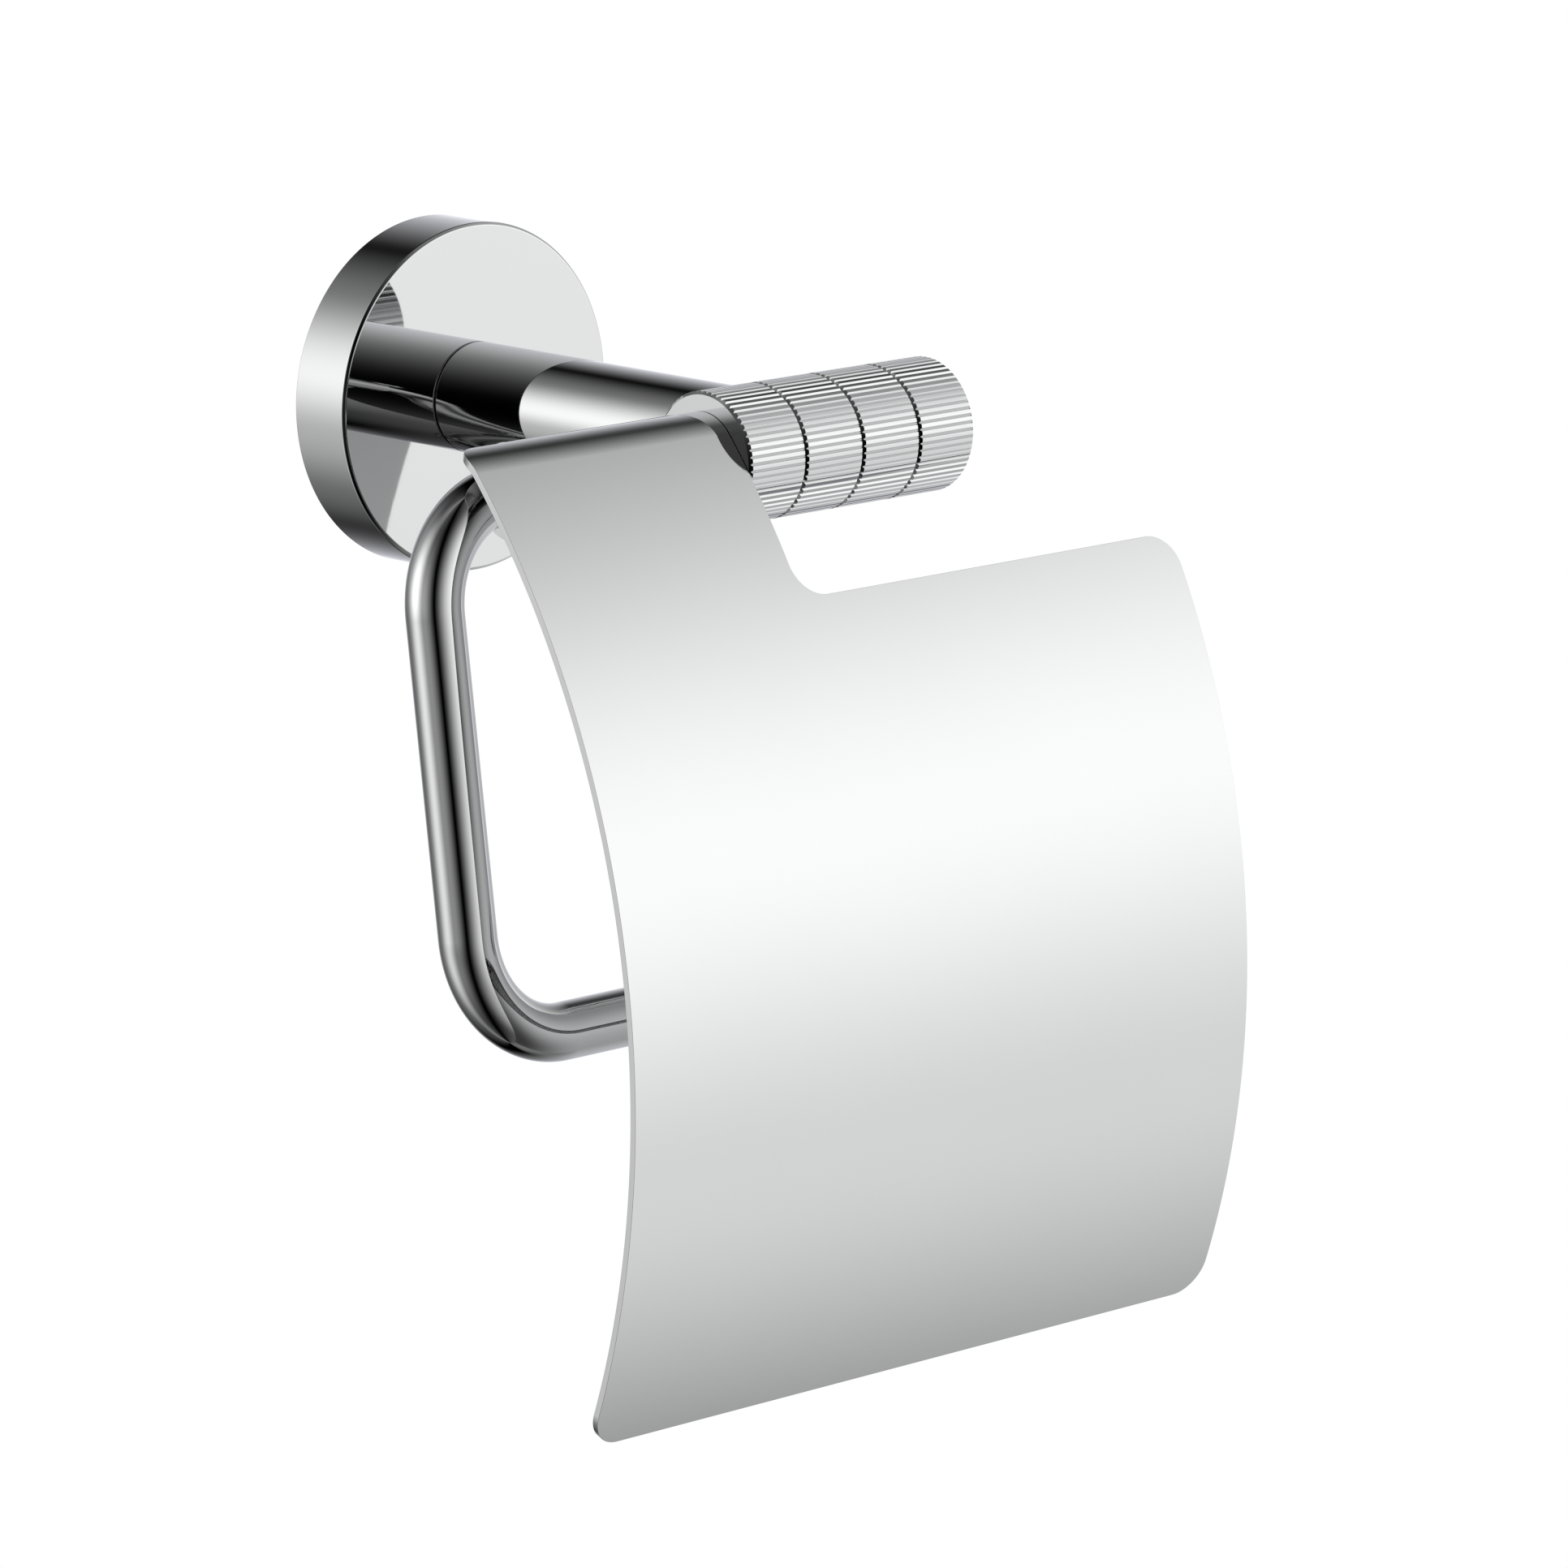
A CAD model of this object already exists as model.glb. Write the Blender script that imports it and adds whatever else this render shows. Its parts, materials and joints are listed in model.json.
# Looks of a wall-mounted toilet paper holder in polished chrome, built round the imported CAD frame.
# The wall is the plane y = 0, the holder stands out towards -Y and +Z is up. Blender works in
# metres; the shapes below are worked out in millimetres and scaled once, in Skin.to_object.
import json
from math import atan2, ceil, cos, degrees, pi, radians, sin, tan

import bpy
import numpy as np
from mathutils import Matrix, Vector


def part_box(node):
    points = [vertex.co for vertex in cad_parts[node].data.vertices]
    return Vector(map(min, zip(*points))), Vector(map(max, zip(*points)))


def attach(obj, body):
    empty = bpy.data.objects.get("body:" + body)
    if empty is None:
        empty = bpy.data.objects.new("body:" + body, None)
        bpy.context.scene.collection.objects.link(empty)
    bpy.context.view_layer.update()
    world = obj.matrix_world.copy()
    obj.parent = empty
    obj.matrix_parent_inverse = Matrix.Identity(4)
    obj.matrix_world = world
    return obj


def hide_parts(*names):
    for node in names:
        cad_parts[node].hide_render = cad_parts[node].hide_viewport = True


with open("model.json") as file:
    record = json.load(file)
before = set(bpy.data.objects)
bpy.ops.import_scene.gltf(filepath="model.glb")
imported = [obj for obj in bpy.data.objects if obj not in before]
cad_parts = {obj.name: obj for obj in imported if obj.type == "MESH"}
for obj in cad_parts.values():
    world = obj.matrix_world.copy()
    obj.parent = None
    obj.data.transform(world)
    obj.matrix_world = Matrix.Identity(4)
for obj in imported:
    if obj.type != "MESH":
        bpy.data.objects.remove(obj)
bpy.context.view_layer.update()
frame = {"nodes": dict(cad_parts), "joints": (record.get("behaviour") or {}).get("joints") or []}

MM = 0.001

# ---------------------------------------------------------------- sizes, in millimetres


def box_mm(node):
    low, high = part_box(node)
    return np.array(low) / MM, np.array(high) / MM


HINGE_Y = frame["joints"][0]["pos_m"][1] / MM

ROSETTE_LOW, ROSETTE_HIGH = box_mm("rosette")
ROSETTE_R = (ROSETTE_HIGH[0] - ROSETTE_LOW[0]) / 2
ROSETTE_DEPTH = -ROSETTE_LOW[1]
ROSETTE_RIM = 2.0
ROSETTE_FRONT = 2.5
ROSETTE_CHAMFER = 0.4

ARM_LOW, ARM_HIGH = box_mm("arm")
ARM_R = (ARM_HIGH[0] - ARM_LOW[0]) / 2
ARM_START = -ARM_HIGH[1]
ARM_END = -ARM_LOW[1]
BOLT_R = 3.0
BOLT_PLAY = 0.2
BOLT_BITE = 12.0
STUD_BACK = 10.02
STUD_FRONT = 8.8
PIN_R = 1.25
PIN_Z = 5.6
PIN_BITE = 1.7
PIN_BORE_DEPTH = 6.5
GRUB_R = 2.0
GRUB_Y = -5.0

BAR_LOW, BAR_HIGH = box_mm("ribbed_bar")
BAR_R = (BAR_HIGH[2] - BAR_LOW[2]) / 2
RIB_COUNT = 60
RIB_DEPTH = 0.24
RIB_GROOVE_W = 0.46
BAND_COUNT = 4
GROOVE_W = 0.5
GROOVE_DEPTH = 0.4
BAR_CHAMFER = 0.45
ARM_SOCKET_START = 8.0
WIRE_BORE_DEPTH = 8.0
FIT = 0.02

WIRE_LOW, WIRE_HIGH = box_mm("roll_wire")
WIRE_R = 4.0
WIRE_BEND_R = 15.0
WIRE_DROP = 73.1
WIRE_TILT = radians(8)
WIRE_LEG_X = WIRE_LOW[0] + WIRE_R
WIRE_END_X = WIRE_HIGH[0]
WIRE_TIP_GAP = 0.2
WIRE_START_X = BAR_LOW[0] + WIRE_BORE_DEPTH - WIRE_TIP_GAP

COVER_LOW, COVER_HIGH = box_mm("cover")
SHEET_T = 1.0
SHEET_R = 126.8
ROLL_R = 6.75
HINGE_ANGLE = radians(40.5)
ROLL_END = radians(300)
STRIP_ANGLE = radians(93)
TOP_ANGLE = radians(29)
BOTTOM_ANGLE = radians(-22)
TAB_GAP = 0.1
TAB_RIGHT = BAR_LOW[0] - TAB_GAP
ROLL_GAP = 0.3
ROLL_LEFT = WIRE_LEG_X + WIRE_BEND_R + ROLL_GAP
CORNER_R = 5.0
STRIP_CORNER_R = 4.5
STRIP_INNER_R = 0.3
ROLL_CORNER_R = 0.4

# Fillets that break the edges, too small for the CAD model
EDGE_R = 0.15
BORE_EDGE_R = 0.1
SHOULDER_R = 0.3
CUP_FILLET_R = 0.5
WIRE_EDGE_R = 0.3
SHEET_EDGE_R = 0.05
NEARLY_SHARP = 0.01
# Half angles, in degrees, of a rib's softened corner and of a groove's floor; drop of that corner
RIB_SOFT = 0.12
RIB_ROOT = 0.1
RIB_SOFT_DROP = 0.03

# How finely the curves are cut: points round a turned piece, a bore and the wire
TURN_STEPS = 288
DRILL_STEPS = 96
WIRE_STEPS = 128
ARC_STEP = radians(6)
# Steps along a quarter turn of the wire: its broken edge, its bends and its half-ball
WIRE_EDGE_STEPS = 6
WIRE_BEND_STEPS = 40
WIRE_BALL_STEPS = 16
# Distance between the cover's lines across, on the curve and on the roll, and the least distance
CURVE_ROW = 1.5
ROLL_ROW = 0.3
ROW_CLEAR = 0.04

# A cutter reaches this far past the face that it cuts
PAST = 1.0
# A bend spread over a face narrower than this counts as a worn edge
WEAR_WIDTH = 0.4

# ---------------------------------------------------------------- outlines and skins


def unit(vector):
    return vector / np.linalg.norm(vector)


def rounded(corners, closed=True, step=ARC_STEP):
    """Points and outward normals along an anticlockwise outline of (u, v, radius) corners."""
    places = [np.array(corner[:2], float) for corner in corners]
    points, normals = [], []
    for i, here in enumerate(places):
        if not closed and i in (0, len(places) - 1):
            other = places[1] if i == 0 else places[-2]
            along = unit(other - here) if i == 0 else unit(here - other)
            points.append(here)
            normals.append(np.array([along[1], -along[0]]))
            continue
        before = unit(here - places[i - 1])
        after = unit(places[(i + 1) % len(places)] - here)
        turn = atan2(before[0] * after[1] - before[1] * after[0], before @ after)
        radius = corners[i][2]
        start = here - before * radius * tan(abs(turn) / 2)
        side = 1 if turn > 0 else -1
        out = np.array([before[1], -before[0]])
        centre = start - out * radius * side
        count = max(2, ceil(abs(turn) / step))
        for k in range(count + 1):
            a = turn * k / count
            normal = np.array([
                out[0] * cos(a) - out[1] * sin(a),
                out[0] * sin(a) + out[1] * cos(a),
            ])
            points.append(centre + normal * radius * side)
            normals.append(normal)
    return points, normals


class Skin:
    """A closed mesh in millimetres whose face corners carry the true surface normals."""

    def __init__(self):
        self.points = []
        self.faces = []
        self.normals = []

    def add_points(self, points):
        start = len(self.points)
        self.points.extend(points)
        return list(range(start, len(self.points)))

    def add_face(self, corners, normals):
        self.faces.append(list(corners))
        self.normals.append(list(normals))

    def join(self, low, high, low_normals, high_normals):
        """Faces between two closed rings; a ring of one point is a pole."""
        count = max(len(low), len(high))
        for i in range(count):
            j = (i + 1) % count
            if len(low) == 1:
                self.add_face(
                    (low[0], high[j], high[i]),
                    (low_normals[0], high_normals[j], high_normals[i]),
                )
            elif len(high) == 1:
                self.add_face(
                    (low[i], low[j], high[0]),
                    (low_normals[i], low_normals[j], high_normals[0]),
                )
            else:
                self.add_face(
                    (low[i], low[j], high[j], high[i]),
                    (low_normals[i], low_normals[j], high_normals[j], high_normals[i]),
                )

    def volume(self):
        total = 0.0
        for corners in self.faces:
            first = self.points[corners[0]]
            for i in range(1, len(corners) - 1):
                total += first @ np.cross(self.points[corners[i]], self.points[corners[i + 1]])
        return total / 6

    def to_object(self, name):
        if self.volume() < 0:
            self.faces = [corners[::-1] for corners in self.faces]
            self.normals = [normals[::-1] for normals in self.normals]
        mesh = bpy.data.meshes.new(name)
        mesh.from_pydata([tuple(p * MM) for p in self.points], [], self.faces)
        shade = mesh.attributes.new("shade", "FLOAT_VECTOR", "CORNER")
        flat = np.array([n for normals in self.normals for n in normals], np.float32)
        shade.data.foreach_set("vector", flat.ravel())
        piece = bpy.data.objects.new(name, mesh)
        bpy.context.scene.collection.objects.link(piece)
        return piece


def turned(points, normals, origin, axis, across, closed=False, inward=False, steps=TURN_STEPS):
    """A profile of (radius, distance along the axis) turned about that axis."""
    origin, axis, across = (np.array(v, float) for v in (origin, axis, across))
    up = np.cross(axis, across)
    spokes = [across * cos(2 * pi * i / steps) + up * sin(2 * pi * i / steps) for i in range(steps)]
    sign = -1 if inward else 1
    skin = Skin()
    rings = []
    for (radius, along), (out, forward) in zip(points, normals):
        around = spokes if radius > 1e-6 else spokes[:1]
        ring = skin.add_points([origin + axis * along + spoke * radius for spoke in around])
        if radius > 1e-6:
            ring_normals = [sign * (axis * forward + spoke * out) for spoke in around]
        else:
            ring_normals = [sign * axis * forward]
        rings.append((ring, ring_normals))
    pairs = list(zip(rings, rings[1:]))
    if closed:
        pairs.append((rings[-1], rings[0]))
    for (low, low_normals), (high, high_normals) in pairs:
        skin.join(low, high, low_normals, high_normals)
    return skin


def drill(radius, start, end, axis, across=(1, 0, 0), flare=0.0):
    """A tool for cut_out: a round hole from one point to another, its mouth at the start flared."""
    start, end = np.array(start, float), np.array(end, float)
    length = np.linalg.norm(end - start)
    mouth_r = radius + flare
    corners = [(0, 0, 0), (mouth_r, 0, NEARLY_SHARP)]
    if flare:
        corners += [(mouth_r, PAST, NEARLY_SHARP), (radius, PAST + flare, 5 * NEARLY_SHARP)]
    corners += [(radius, length, NEARLY_SHARP), (0, length, 0)]
    points, normals = rounded([(r, -d, c) for r, d, c in corners][::-1], closed=False)
    flipped = [(r, -d) for r, d in points]
    flipped_normals = [(n[0], -n[1]) for n in normals]
    tool = turned(flipped, flipped_normals, start, axis, across, inward=True, steps=DRILL_STEPS)
    return tool.to_object("drill")


def cut_out(piece, tools):
    """Cuts the tools out of the piece for good; the corner normals come through as an attribute."""
    for tool in tools:
        cut = piece.modifiers.new("cut", "BOOLEAN")
        cut.operation = "DIFFERENCE"
        cut.solver = "EXACT"
        cut.object = tool
    bpy.context.view_layer.update()
    seen = piece.evaluated_get(bpy.context.evaluated_depsgraph_get())
    mesh = bpy.data.meshes.new_from_object(seen)
    piece.modifiers.clear()
    old = piece.data
    piece.data = mesh
    mesh.name = old.name
    bpy.data.meshes.remove(old)
    for tool in tools:
        tool_mesh = tool.data
        bpy.data.objects.remove(tool)
        bpy.data.meshes.remove(tool_mesh)


def polish(piece):
    """Turns the carried corner normals into the mesh's own, and marks the faces of tight edges."""
    mesh = piece.data
    shade = np.zeros(len(mesh.loops) * 3, np.float32)
    mesh.attributes["shade"].data.foreach_get("vector", shade)
    shade = shade.reshape(-1, 3)
    shade /= np.maximum(np.linalg.norm(shade, axis=1, keepdims=True), 1e-9)
    mesh.attributes.remove(mesh.attributes["shade"])
    mesh.shade_smooth()
    mesh.normals_split_custom_set([tuple(n) for n in shade])
    wear = mesh.attributes.new("edge_wear", "FLOAT", "FACE")
    values = []
    for face in mesh.polygons:
        corners = shade[face.loop_start:face.loop_start + face.loop_total]
        bend = np.linalg.norm(corners.max(0) - corners.min(0))
        places = np.array([mesh.vertices[v].co for v in face.vertices])
        sides = np.linalg.norm(places - np.roll(places, 1, axis=0), axis=1)
        values.append(min(1.0, bend * WEAR_WIDTH * MM / max(sides.min(), 1e-6)))
    wear.data.foreach_set("value", values)


def add_piece(piece, node, body, material):
    polish(piece)
    piece.data.materials.clear()
    piece.data.materials.append(material)
    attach(piece, body)
    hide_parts(node)
    return piece


# ---------------------------------------------------------------- material nodes

# Places of the colour sockets among a Mix node's inputs and outputs
MIX_LOW, MIX_HIGH, MIX_RESULT = 6, 7, 2


class Nodes:
    """Short names for making and joining shader nodes."""

    def __init__(self, tree):
        self.tree = tree
        tree.nodes.clear()

    def add(self, kind, **settings):
        node = self.tree.nodes.new(kind)
        for name, value in settings.items():
            setattr(node, name, value)
        return node

    def put(self, socket, value):
        if isinstance(value, bpy.types.NodeSocket):
            self.tree.links.new(value, socket)
        else:
            socket.default_value = value

    def math(self, operation, *values, clamp=False):
        node = self.add("ShaderNodeMath", operation=operation, use_clamp=clamp)
        for socket, value in zip(node.inputs, values):
            self.put(socket, value)
        return node.outputs[0]

    def vector(self, operation, *values):
        node = self.add("ShaderNodeVectorMath", operation=operation)
        for socket, value in zip(node.inputs, values):
            self.put(socket, value)
        return node.outputs["Value" if operation == "DOT_PRODUCT" else "Vector"]

    def ramp(self, value, low, high, to_low=0.0, to_high=1.0, smooth=False):
        node = self.add("ShaderNodeMapRange", clamp=True)
        if smooth:
            node.interpolation_type = "SMOOTHSTEP"
        for name, entry in zip(("Value", "From Min", "From Max", "To Min", "To Max"),
                               (value, low, high, to_low, to_high)):
            self.put(node.inputs[name], entry)
        return node.outputs["Result"]

    def noise(self, where, size, detail=2.0, roughness=0.5, stretch=(1, 1, 1)):
        """Noise whose features are about size metres across; stretch makes them longer."""
        place = self.vector("MULTIPLY", where, tuple(1 / s for s in stretch))
        node = self.add("ShaderNodeTexNoise")
        self.put(node.inputs["Vector"], place)
        self.put(node.inputs["Scale"], 1 / size)
        self.put(node.inputs["Detail"], detail)
        self.put(node.inputs["Roughness"], roughness)
        return node.outputs["Fac"]

    def mix(self, factor, low, high):
        node = self.add("ShaderNodeMix", data_type="RGBA")
        self.put(node.inputs["Factor"], factor)
        self.put(node.inputs[MIX_LOW], low)
        self.put(node.inputs[MIX_HIGH], high)
        return node.outputs[MIX_RESULT]

    def bump(self, height, depth, normal=None):
        node = self.add("ShaderNodeBump")
        self.put(node.inputs["Height"], height)
        self.put(node.inputs["Distance"], depth)
        self.put(node.inputs["Strength"], 1.0)
        if normal is not None:
            self.put(node.inputs["Normal"], normal)
        return node.outputs["Normal"]


def new_material(name):
    material = bpy.data.materials.new(name)
    material.use_nodes = True
    nodes = Nodes(material.node_tree)
    shader = nodes.add("ShaderNodeBsdfPrincipled")
    output = nodes.add("ShaderNodeOutputMaterial")
    nodes.put(output.inputs["Surface"], shader.outputs["BSDF"])
    where = nodes.add("ShaderNodeTexCoord").outputs["Object"]
    return material, nodes, shader.inputs, where


def grey(level, alpha=1.0):
    return (level, level, level, alpha)


def polished_chrome():
    """Chromium plate: a clear dark mirror, with faint wipe marks and a trace of orange peel."""
    material, nodes, shader, where = new_material("polished_chrome")
    edge = nodes.add("ShaderNodeAttribute", attribute_name="edge_wear").outputs["Fac"]
    cloud = nodes.noise(where, 0.03, detail=3)
    wipe = nodes.noise(where, 0.0008, detail=2, stretch=(30, 1, 3))
    peel = nodes.noise(where, 0.004, detail=2)
    nodes.put(shader["Base Color"], nodes.mix(cloud, grey(0.545), grey(0.56)))
    nodes.put(shader["Metallic"], 1.0)
    nodes.put(shader["Specular Tint"], (0.70, 0.70, 0.74, 1))
    smooth = nodes.ramp(cloud, 0.3, 0.7, 0.010, 0.022)
    wiped = nodes.math("MULTIPLY_ADD", wipe, 0.010, smooth)
    nodes.put(shader["Roughness"], nodes.math("MULTIPLY_ADD", edge, 0.05, wiped))
    nodes.put(shader["Normal"], nodes.bump(peel, 0.8e-6))
    return material


def cast_zinc():
    """Die-cast zinc: matt grey with flow clouds and a fine grain."""
    material, nodes, shader, where = new_material("cast_zinc")
    cloud = nodes.noise(where, 0.012, detail=4)
    grain = nodes.noise(where, 0.0006, detail=3)
    nodes.put(shader["Base Color"], nodes.mix(cloud, grey(0.36), grey(0.47)))
    nodes.put(shader["Metallic"], 0.9)
    nodes.put(shader["Roughness"], nodes.ramp(grain, 0.3, 0.7, 0.38, 0.55))
    nodes.put(shader["Normal"], nodes.bump(grain, 25e-6))
    return material


def turned_steel():
    """Stainless fasteners: grey steel with fine turning marks and small stains."""
    material, nodes, shader, where = new_material("turned_steel")
    stain = nodes.noise(where, 0.002, detail=3)
    marks = nodes.noise(where, 0.00012, detail=2, stretch=(6, 1, 6))
    nodes.put(shader["Base Color"], nodes.mix(stain, grey(0.46), grey(0.58)))
    nodes.put(shader["Metallic"], 1.0)
    nodes.put(shader["Roughness"], nodes.ramp(marks, 0.3, 0.7, 0.22, 0.36))
    nodes.put(shader["Normal"], nodes.bump(marks, 3e-6))
    return material


def moulded_nylon(name, low, high, roughness, softness):
    """Moulded plastic: slight cloudiness and the fine matt texture of a spark-eroded mould."""
    material, nodes, shader, where = new_material(name)
    cloud = nodes.noise(where, 0.006, detail=3)
    texture = nodes.noise(where, 0.0003, detail=2)
    nodes.put(shader["Base Color"], nodes.mix(cloud, low, high))
    nodes.put(shader["Roughness"], nodes.ramp(texture, 0.3, 0.7, roughness - 0.05, roughness + 0.08))
    nodes.put(shader["Subsurface Weight"], softness)
    nodes.put(shader["Subsurface Radius"], (0.002, 0.002, 0.0018))
    nodes.put(shader["Subsurface Scale"], 1.0)
    nodes.put(shader["Normal"], nodes.bump(texture, 6e-6))
    return material


# ---------------------------------------------------------------- the object's pieces


def build_rosette(chrome):
    """Shallow cup over the wall plate: broken front edge, holes for the screw, pin and grub screw."""
    inner_r = ROSETTE_R - ROSETTE_RIM
    cup_depth = ROSETTE_DEPTH - ROSETTE_FRONT
    shoulder = ROSETTE_DEPTH - ROSETTE_CHAMFER
    hole_r = BOLT_R + BOLT_PLAY
    corners = [
        (hole_r, ROSETTE_DEPTH, EDGE_R), (hole_r, cup_depth, EDGE_R),
        (inner_r, cup_depth, CUP_FILLET_R), (inner_r, 0, EDGE_R), (ROSETTE_R, 0, EDGE_R),
        (ROSETTE_R, shoulder, SHOULDER_R), (ROSETTE_R - ROSETTE_CHAMFER, ROSETTE_DEPTH, SHOULDER_R),
    ]
    points, normals = rounded(corners)
    cup = turned(points, normals, (0, 0, 0), (0, -1, 0), (1, 0, 0), closed=True)
    piece = cup.to_object("rosette_cup")
    pin_start = (0, -ROSETTE_DEPTH - PAST, PIN_Z)
    pin_end = (0, PIN_BITE - ROSETTE_DEPTH, PIN_Z)
    grub_start = (0, GRUB_Y, -ROSETTE_R - PAST)
    grub_end = (0, GRUB_Y, PAST - inner_r)
    cut_out(piece, [
        drill(PIN_R, pin_start, pin_end, (0, 1, 0)),
        drill(GRUB_R, grub_start, grub_end, (0, 0, 1), flare=EDGE_R),
    ])
    return add_piece(piece, "rosette", "holder", chrome)


def build_arm(chrome):
    """Round arm with the screw's bore in one end and the stud's bore in the other."""
    bolt_end = ARM_START + BOLT_BITE
    stud_end = ARM_END - STUD_BACK
    corners = [
        (0, bolt_end, 0), (BOLT_R, bolt_end, BORE_EDGE_R), (BOLT_R, ARM_START, BORE_EDGE_R),
        (ARM_R, ARM_START, EDGE_R), (ARM_R, ARM_END, EDGE_R),
        (BOLT_R, ARM_END, BORE_EDGE_R), (BOLT_R, stud_end, BORE_EDGE_R), (0, stud_end, 0),
    ]
    points, normals = rounded(corners, closed=False)
    piece = turned(points, normals, (0, 0, 0), (0, -1, 0), (1, 0, 0)).to_object("arm_tube")
    pin_start = (0, PAST - ARM_START, PIN_Z)
    pin_end = (0, -ARM_START - PIN_BORE_DEPTH, PIN_Z)
    cut_out(piece, [drill(PIN_R, pin_start, pin_end, (0, -1, 0))])
    return add_piece(piece, "arm", "holder", chrome)


def rib_ring():
    """Angles, radii and flat normals round a ribbed band: flat-topped ribs with V grooves between."""
    pitch = 360 / RIB_COUNT
    land = pitch / 2 - degrees(RIB_GROOVE_W / 2 / BAR_R)
    side = [
        (land - RIB_SOFT, BAR_R),
        (land + RIB_SOFT, BAR_R - RIB_SOFT_DROP),
        (pitch / 2 - RIB_ROOT, BAR_R - RIB_DEPTH),
    ]
    profile = [(-offset, radius) for offset, radius in side[::-1]] + side
    angles, radii, normals = [], [], []
    for rib in range(RIB_COUNT):
        places = []
        for offset, radius in profile:
            a = radians(rib * pitch + offset)
            angles.append(a)
            radii.append(radius)
            places.append(np.array([radius * cos(a), radius * sin(a)]))
        up, down = unit(places[1] - places[0]), unit(places[5] - places[4])
        rising, falling = np.array([up[1], -up[0]]), np.array([down[1], -down[0]])
        normals += [rising, rising, unit(places[2]), unit(places[3]), falling, falling]
    return angles, radii, normals


def bar_skin():
    """Skin of the cross bar: ribs in bands, V-shaped ring grooves between them, chamfered ends."""
    angles, radii, ring_normals = rib_ring()
    count = len(angles)
    hinge = np.array([0, HINGE_Y, 0])
    spokes = [np.array([0, -cos(a), sin(a)]) for a in angles]
    rib_normals = [np.array([0, -n[0], n[1]]) for n in ring_normals]
    left, right = np.array([-1.0, 0, 0]), np.array([1.0, 0, 0])
    to_left = [unit(left + spoke) for spoke in spokes]
    to_right = [unit(right + spoke) for spoke in spokes]
    end_r = BAR_R - BAR_CHAMFER
    floor_r = BAR_R - GROOVE_DEPTH
    skin = Skin()

    def ring(places, ring_radii):
        return skin.add_points([
            hinge + np.array([x, 0, 0]) + spoke * r
            for x, r, spoke in zip(places, ring_radii, spokes)
        ])

    def end_rings(side, x_end):
        centre = skin.add_points([hinge + np.array([x_end, 0, 0])])
        rim = ring([x_end] * count, [end_r] * count)
        shoulder = ring([x_end - side * (r - end_r) for r in radii], radii)
        return centre, rim, shoulder

    centre, rim, band_start = end_rings(-1, BAR_LOW[0])
    last_centre, last_rim, last_shoulder = end_rings(1, BAR_HIGH[0])
    skin.join(centre, rim, [left], [left] * count)
    skin.join(rim, band_start, to_left, to_left)
    band = (BAR_HIGH[0] - BAR_LOW[0] - (BAND_COUNT - 1) * GROOVE_W) / BAND_COUNT
    for gap in range(1, BAND_COUNT):
        valley_x = BAR_LOW[0] + gap * (band + GROOVE_W) - GROOVE_W / 2
        band_end = ring([valley_x - (r - floor_r) for r in radii], radii)
        valley = ring([valley_x] * count, [floor_r] * count)
        next_start = ring([valley_x + (r - floor_r) for r in radii], radii)
        skin.join(band_start, band_end, rib_normals, rib_normals)
        skin.join(band_end, valley, to_right, to_right)
        skin.join(valley, next_start, to_left, to_left)
        band_start = next_start
    skin.join(band_start, last_shoulder, rib_normals, rib_normals)
    skin.join(last_shoulder, last_rim, to_right, to_right)
    skin.join(last_rim, last_centre, [right] * count, [right])
    return skin


def build_ribbed_bar(chrome):
    """Cross bar with its bores for the wire, the arm, the stud and the grub screw."""
    piece = bar_skin().to_object("ribbed_crossbar")
    wire_start = (BAR_LOW[0] - PAST, HINGE_Y, 0)
    wire_end = (BAR_LOW[0] + WIRE_BORE_DEPTH, HINGE_Y, 0)
    arm_start = (0, ARM_SOCKET_START - ARM_END, 0)
    arm_end = (0, -ARM_END - FIT, 0)
    stud_start = (0, PAST - ARM_END, 0)
    stud_end = (0, -ARM_END - STUD_FRONT, 0)
    grub_x = BAR_LOW[0] + WIRE_BORE_DEPTH / 2
    cut_out(piece, [
        drill(WIRE_R + FIT, wire_start, wire_end, (1, 0, 0), across=(0, -1, 0)),
        drill(ARM_R + FIT, arm_start, arm_end, (0, -1, 0)),
        drill(BOLT_R, stud_start, stud_end, (0, -1, 0)),
        drill(GRUB_R, (grub_x, HINGE_Y, -BAR_R - PAST), (grub_x, HINGE_Y, 0), (0, 0, 1)),
    ])
    return add_piece(piece, "ribbed_bar", "holder", chrome)


def wire_stations():
    """Places along the bent wire, in the plane of its loop: (x, drop, direction, radius, slope)."""
    stations = []
    edge_x = WIRE_START_X - WIRE_EDGE_R
    neck_r = WIRE_R - WIRE_EDGE_R
    for k in range(WIRE_EDGE_STEPS + 1):
        a = pi / 2 * k / WIRE_EDGE_STEPS
        stations.append(
            (edge_x + WIRE_EDGE_R * cos(a), 0, pi, neck_r + WIRE_EDGE_R * sin(a), a - pi / 2))
    bend_x = WIRE_LEG_X + WIRE_BEND_R
    quarter = [pi / 2 * k / WIRE_BEND_STEPS for k in range(WIRE_BEND_STEPS + 1)]
    for a in quarter:
        stations.append(
            (bend_x - WIRE_BEND_R * sin(a), WIRE_BEND_R * (1 - cos(a)), pi + a, WIRE_R, 0))
    for a in quarter:
        drop = WIRE_DROP - WIRE_BEND_R * (1 - sin(a))
        stations.append((bend_x - WIRE_BEND_R * cos(a), drop, 1.5 * pi + a, WIRE_R, 0))
    ball_x = WIRE_END_X - WIRE_R
    for k in range(WIRE_BALL_STEPS + 1):
        a = pi / 2 * k / WIRE_BALL_STEPS
        stations.append((ball_x + WIRE_R * sin(a), WIRE_DROP, 2 * pi, WIRE_R * cos(a), a))
    return stations


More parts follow.
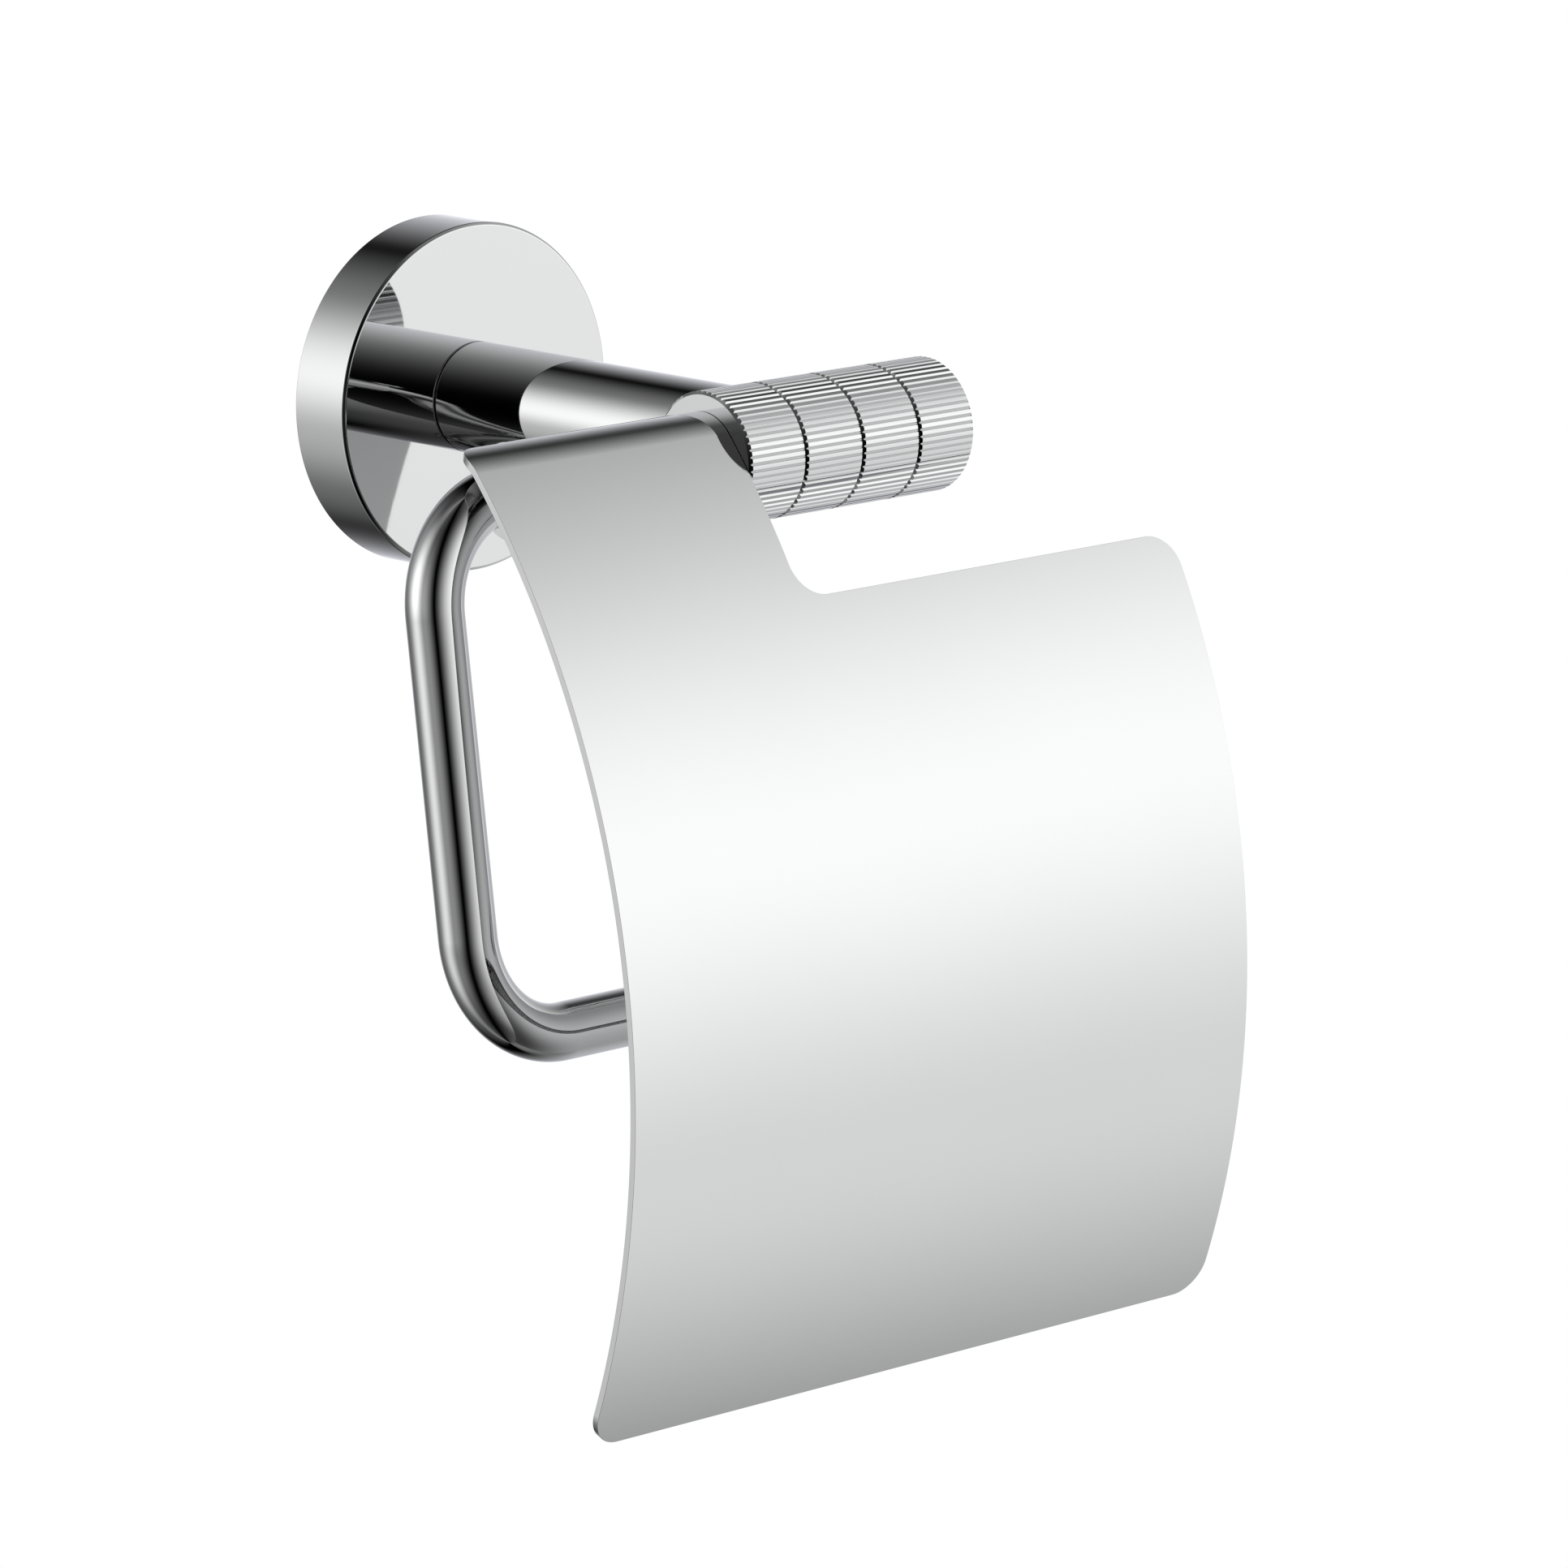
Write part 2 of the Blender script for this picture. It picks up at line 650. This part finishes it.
def build_roll_wire(chrome):
    """Bent rod: hinge pin above, roll holder below, with a half-ball on its free end."""
    hinge = np.array([0, HINGE_Y, 0])
    right = np.array([1.0, 0, 0])
    down = np.array([0, -sin(WIRE_TILT), -cos(WIRE_TILT)])
    side = np.cross(right, down)
    turns = [2 * pi * i / WIRE_STEPS for i in range(WIRE_STEPS)]
    skin = Skin()
    rings = [(skin.add_points([hinge + right * WIRE_START_X]), [right])]
    for x, drop, heading, radius, slope in wire_stations():
        along = right * cos(heading) - down * sin(heading)
        inwards = np.cross(side, along)
        spokes = [inwards * cos(turn) + side * sin(turn) for turn in turns]
        centre = hinge + right * x + down * drop
        if radius < 1e-6:
            rings.append((skin.add_points([centre]), [along]))
            continue
        ring = skin.add_points([centre + spoke * radius for spoke in spokes])
        rings.append((ring, [spoke * cos(slope) + along * sin(slope) for spoke in spokes]))
    for (low, low_normals), (high, high_normals) in zip(rings, rings[1:]):
        skin.join(low, high, low_normals, high_normals)
    piece = skin.to_object("bent_wire")
    return add_piece(piece, "roll_wire", "holder", chrome)


def sheet_place(x, s, depth):
    """Place, outward and upward directions at a distance s up the sheet from where roll and curve
    meet, and at a depth under the outer face."""
    if s <= 0:
        a = HINGE_ANGLE + s / SHEET_R
        centre_y = HINGE_Y + (SHEET_R - ROLL_R) * cos(HINGE_ANGLE)
        centre_z = -(SHEET_R - ROLL_R) * sin(HINGE_ANGLE)
        radius = SHEET_R
    else:
        a = HINGE_ANGLE + s / ROLL_R
        centre_y, centre_z, radius = HINGE_Y, 0, ROLL_R
    out = np.array([0, -cos(a), sin(a)])
    along = np.array([0, sin(a), cos(a)])
    return np.array([x, centre_y, centre_z]) + out * (radius - depth), out, along


def cover_outline():
    """Corners of the flat cover before it is rolled: (x, distance up the sheet, corner radius)."""
    left, right = COVER_LOW[0], COVER_HIGH[0]
    bottom = (BOTTOM_ANGLE - HINGE_ANGLE) * SHEET_R
    top = (TOP_ANGLE - HINGE_ANGLE) * SHEET_R
    roll_top = (ROLL_END - HINGE_ANGLE) * ROLL_R
    strip_top = (STRIP_ANGLE - HINGE_ANGLE) * ROLL_R
    return [
        (left, bottom, CORNER_R), (right, bottom, CORNER_R), (right, top, CORNER_R),
        (TAB_RIGHT, top, CORNER_R), (TAB_RIGHT, roll_top, ROLL_CORNER_R),
        (ROLL_LEFT, roll_top, ROLL_CORNER_R), (ROLL_LEFT, strip_top, STRIP_INNER_R),
        (left, strip_top, STRIP_CORNER_R),
    ]


def sheet_levels(inset, bottom, top):
    """Distances up the sheet where its mesh has a line across: close on the roll, else wider."""
    levels = sorted(set(round(float(p[1]), 5) for p in inset))
    rows = [-CURVE_ROW * k for k in range(int(-bottom / CURVE_ROW) + 1)]
    rows += [ROLL_ROW * k for k in range(int(top / ROLL_ROW) + 1)]
    for row in rows:
        if bottom < row < top and min(abs(row - level) for level in levels) > ROW_CLEAR:
            levels.append(row)
    return sorted(levels)


def crossed(inset, normals, levels):
    """The outline again, with a point added wherever a side crosses a level."""
    points, outs = [], []
    for i, here in enumerate(inset):
        after = inset[(i + 1) % len(inset)]
        low, high = sorted((here[1], after[1]))
        between = [level for level in levels if low + 1e-4 < level < high - 1e-4]
        if after[1] < here[1]:
            between.reverse()
        points.append(here)
        outs.append(normals[i])
        for level in between:
            share = (level - here[1]) / (after[1] - here[1])
            points.append(here + (after - here) * share)
            outs.append(unit(normals[i] * (1 - share) + normals[(i + 1) % len(inset)] * share))
    return points, outs


def strips(points, levels):
    """Cuts the flat outline into strips between levels; each strip is a list of point numbers."""
    rows = {level: [] for level in levels}
    for number, point in enumerate(points):
        rows[min(levels, key=lambda level: abs(level - point[1]))].append(number)
    row_of = {number: level for level, row in rows.items() for number in row}
    sides = {level: [] for level in levels}
    for number in range(len(points)):
        after = (number + 1) % len(points)
        low, high = sorted((number, after), key=lambda n: points[n][1])
        if row_of[low] != row_of[high]:
            sides[row_of[low]].append((low, high))
    result = []
    for low_level, high_level in zip(levels, levels[1:]):
        (left_low, left_high), (right_low, right_high) = sorted(
            sides[low_level], key=lambda side: points[side[0]][0] + points[side[1]][0])
        low_row = [n for n in rows[low_level]
                   if points[left_low][0] <= points[n][0] <= points[right_low][0]]
        high_row = [n for n in rows[high_level]
                    if points[left_high][0] <= points[n][0] <= points[right_high][0]]
        low_row.sort(key=lambda n: points[n][0])
        high_row.sort(key=lambda n: points[n][0], reverse=True)
        result.append(low_row + high_row)
    return result


def build_cover(chrome):
    """Curved sheet with a rolled hinge edge: one closed skin with softened sheared edges."""
    outline, normals = rounded(cover_outline())
    inset = [p - n * SHEET_EDGE_R for p, n in zip(outline, normals)]
    bottom, top = min(p[1] for p in inset), max(p[1] for p in inset)
    levels = sheet_levels(inset, bottom, top)
    points, outs = crossed(inset, normals, levels)
    bends = [radians(a) for a in (0, 22.5, 45, 67.5, 90)]
    rim = [(SHEET_EDGE_R * sin(a), SHEET_EDGE_R * (1 - cos(a)), a) for a in bends]
    rim += [(out, SHEET_T - depth, pi - a) for out, depth, a in reversed(rim)]
    skin = Skin()
    rings, ring_normals = [], []
    for out, depth, lean in rim:
        ring, lean_normals = [], []
        for (x, s), n in zip(points, outs):
            place, up, along = sheet_place(x + n[0] * out, s + n[1] * out, depth)
            sideways = np.array([n[0], 0, 0]) + along * n[1]
            ring.append(place)
            lean_normals.append(unit(sideways * sin(lean) + up * cos(lean)))
        rings.append(skin.add_points(ring))
        ring_normals.append(lean_normals)
    for k in range(len(rings) - 1):
        skin.join(rings[k], rings[k + 1], ring_normals[k], ring_normals[k + 1])
    for strip in strips(points, levels):
        skin.add_face([rings[-1][n] for n in strip], [ring_normals[-1][n] for n in strip])
        back = strip[::-1]
        skin.add_face([rings[0][n] for n in back], [ring_normals[0][n] for n in back])
    piece = skin.to_object("cover_sheet")
    return add_piece(piece, "cover", "flap", chrome)


def dress(node, material):
    """Gives a CAD node that stays in view its procedural material."""
    for entry in frame["nodes"][node].material_slots:
        entry.material = material


# ---------------------------------------------------------------- studio

CAMERA_TURN = radians(-43.689)
CAMERA_RISE = radians(12.09)
CAMERA_DISTANCE = 1275.126
CAMERA_OFFSET = (-50.855, 56.587)
CAMERA_LENS = 204.66

# Share of the light that the chrome gives back; the levels below are as seen in the chrome
CHROME_MIRROR = 0.55
BOX_LEVEL = 0.965
BOX_TINT = (0.990, 1.0, 0.995)
GLOW_TINT = (0.98, 0.985, 1.0)
# Round glows: angle round from the camera, angle above the horizon, reach in degrees, brightness
BACKDROP_GLOW = (180, -4, 52, 0.75)
FLOOR_GLOW = (155, -40, 36, 0.42)

# The two tall soft boxes, as soft steps: from this angle to that angle, brightness changes by this.
# Round the studio the angle is counted from the camera, to the right and to the left
RIGHT_AROUND = [(0, 85, 1.0), (105, 172, -1.0)]
LEFT_AROUND = [(0, 45, 0.35), (45, 79, 0.9), (79, 120, -0.9), (115, 158, -0.35)]
# Up and down the boxes the angle is counted from the horizon; the dim base is there at any angle
BOX_BASE = 0.15
RIGHT_TALL = [(-60, -22, 0.52), (-22, 9, 0.33), (9, 66, -0.85)]
LEFT_TALL = [(-70, -25, 0.37), (-18, 8, 0.48), (10, 62, -0.85)]


def soft_steps(nodes, angle, steps, base=0.0):
    """Brightness that changes smoothly with an angle, as a base and a sum of soft steps."""
    level = base
    for start, end, change in steps:
        step = nodes.ramp(angle, radians(start), radians(end), 0, change, smooth=True)
        level = nodes.math("ADD", level, step)
    return level


def glow(nodes, where, around, rise, reach, level):
    """A round glow that fades out smoothly over its reach."""
    around, rise = CAMERA_TURN + radians(around), radians(rise)
    centre = (cos(rise) * sin(around), -cos(rise) * cos(around), sin(rise))
    away = nodes.math("ARCCOSINE", nodes.vector("DOT_PRODUCT", where, centre))
    return nodes.ramp(away, 0, radians(reach), level / CHROME_MIRROR, 0, smooth=True)


def tinted(nodes, tint, level):
    scale = nodes.add("ShaderNodeVectorMath", operation="SCALE")
    nodes.put(scale.inputs[0], tint)
    nodes.put(scale.inputs["Scale"], level)
    return scale.outputs["Vector"]


def build_light():
    """Soft light from all round: two tall soft boxes, a dark camera side and a glowing backdrop."""
    world = bpy.data.worlds.new("studio_light")
    bpy.context.scene.world = world
    world.use_nodes = True
    nodes = Nodes(world.node_tree)
    where = nodes.add("ShaderNodeTexCoord").outputs["Generated"]
    right = (cos(CAMERA_TURN), sin(CAMERA_TURN), 0)
    front = (sin(CAMERA_TURN), -cos(CAMERA_TURN), 0)
    to_right = nodes.vector("DOT_PRODUCT", where, right)
    to_front = nodes.vector("DOT_PRODUCT", where, front)
    height = nodes.vector("DOT_PRODUCT", where, (0, 0, 1))
    to_the_right = nodes.math("ARCTAN2", to_right, to_front)
    to_the_left = nodes.math("MULTIPLY", to_the_right, -1.0)
    rise = nodes.math("ARCSINE", height)
    right_box = nodes.math("MULTIPLY", soft_steps(nodes, to_the_right, RIGHT_AROUND),
                           soft_steps(nodes, rise, RIGHT_TALL, BOX_BASE))
    left_box = nodes.math("MULTIPLY", soft_steps(nodes, to_the_left, LEFT_AROUND),
                          soft_steps(nodes, rise, LEFT_TALL, BOX_BASE))
    both_boxes = nodes.math("ADD", right_box, left_box)
    boxes = nodes.math("MULTIPLY", both_boxes, BOX_LEVEL / CHROME_MIRROR)
    glows = nodes.math("ADD", glow(nodes, where, *BACKDROP_GLOW), glow(nodes, where, *FLOOR_GLOW))
    light = nodes.vector("ADD", tinted(nodes, BOX_TINT, boxes), tinted(nodes, GLOW_TINT, glows))
    background = nodes.add("ShaderNodeBackground")
    output = nodes.add("ShaderNodeOutputWorld")
    nodes.put(background.inputs["Color"], light)
    nodes.put(output.inputs["Surface"], background.outputs["Background"])


def paper_white():
    """Backdrop paper lit to plain white, with the faintest unevenness."""
    material = bpy.data.materials.new("backdrop_paper")
    material.use_nodes = True
    nodes = Nodes(material.node_tree)
    where = nodes.add("ShaderNodeTexCoord").outputs["Object"]
    cloud = nodes.noise(where, 1.5, detail=2)
    emission = nodes.add("ShaderNodeEmission")
    output = nodes.add("ShaderNodeOutputMaterial")
    nodes.put(emission.inputs["Color"], nodes.mix(cloud, grey(1.0), grey(1.01)))
    nodes.put(output.inputs["Surface"], emission.outputs["Emission"])
    return material


def build_stage():
    """A plain pale floor that sweeps up into a dome all round, seen by the camera only."""
    floor_z, dome_r, sweep_r, top = -1500, 6000, 2000, 5000
    corners = [(0, floor_z, 0), (dome_r, floor_z, sweep_r), (dome_r, top, sweep_r), (0, top, 0)]
    points, _ = rounded(corners, closed=False)
    steps = 96
    places, faces = [], []
    for radius, height in points:
        for i in range(steps):
            a = 2 * pi * i / steps
            places.append((radius * cos(a) * MM, radius * sin(a) * MM, height * MM))
    for k in range(len(points) - 1):
        for i in range(steps):
            j = (i + 1) % steps
            faces.append((k * steps + i, k * steps + j, (k + 1) * steps + j, (k + 1) * steps + i))
    mesh = bpy.data.meshes.new("studio_sweep")
    mesh.from_pydata(places, [], faces)
    mesh.shade_smooth()
    mesh.materials.append(paper_white())
    sweep = bpy.data.objects.new("studio_sweep", mesh)
    bpy.context.scene.collection.objects.link(sweep)
    for ray in ("diffuse", "glossy", "transmission", "volume_scatter", "shadow"):
        setattr(sweep, "visible_" + ray, False)


def build_camera():
    a, e = CAMERA_TURN, CAMERA_RISE
    right = Vector((cos(a), sin(a), 0))
    back = Vector((sin(a) * cos(e), -cos(a) * cos(e), sin(e)))
    up = back.cross(right)
    shift_right, shift_up = CAMERA_OFFSET
    place = (back * CAMERA_DISTANCE - right * shift_right - up * shift_up) * MM
    data = bpy.data.cameras.new("camera")
    data.sensor_width = 36
    data.lens = CAMERA_LENS
    data.clip_start = 0.05
    data.clip_end = 20
    camera = bpy.data.objects.new("camera", data)
    bpy.context.scene.collection.objects.link(camera)
    camera.location = place
    camera.rotation_euler = back.to_track_quat("Z", "Y").to_euler()
    bpy.context.scene.camera = camera


# ---------------------------------------------------------------- put together

bpy.context.scene.view_settings.view_transform = "Standard"

chrome = polished_chrome()
steel = turned_steel()
white_nylon = moulded_nylon(
    "white_nylon", (0.82, 0.82, 0.78, 1), (0.88, 0.88, 0.85, 1), roughness=0.42, softness=0.15)
black_nylon = moulded_nylon(
    "black_nylon", (0.012, 0.012, 0.013, 1), (0.022, 0.022, 0.024, 1), roughness=0.5, softness=0.0)

build_rosette(chrome)
build_arm(chrome)
build_ribbed_bar(chrome)
build_roll_wire(chrome)
build_cover(chrome)

dress("wall_plate", cast_zinc())
dress("arm_seat_ring", black_nylon)
for name in ("rosette_set_screw", "arm_locating_pin", "arm_washer", "arm_screw", "arm_stud",
             "wire_set_screw"):
    dress(name, steel)
for name in ("hinge_bush_left", "hinge_bush_right"):
    dress(name, white_nylon)

build_light()
build_stage()
build_camera()
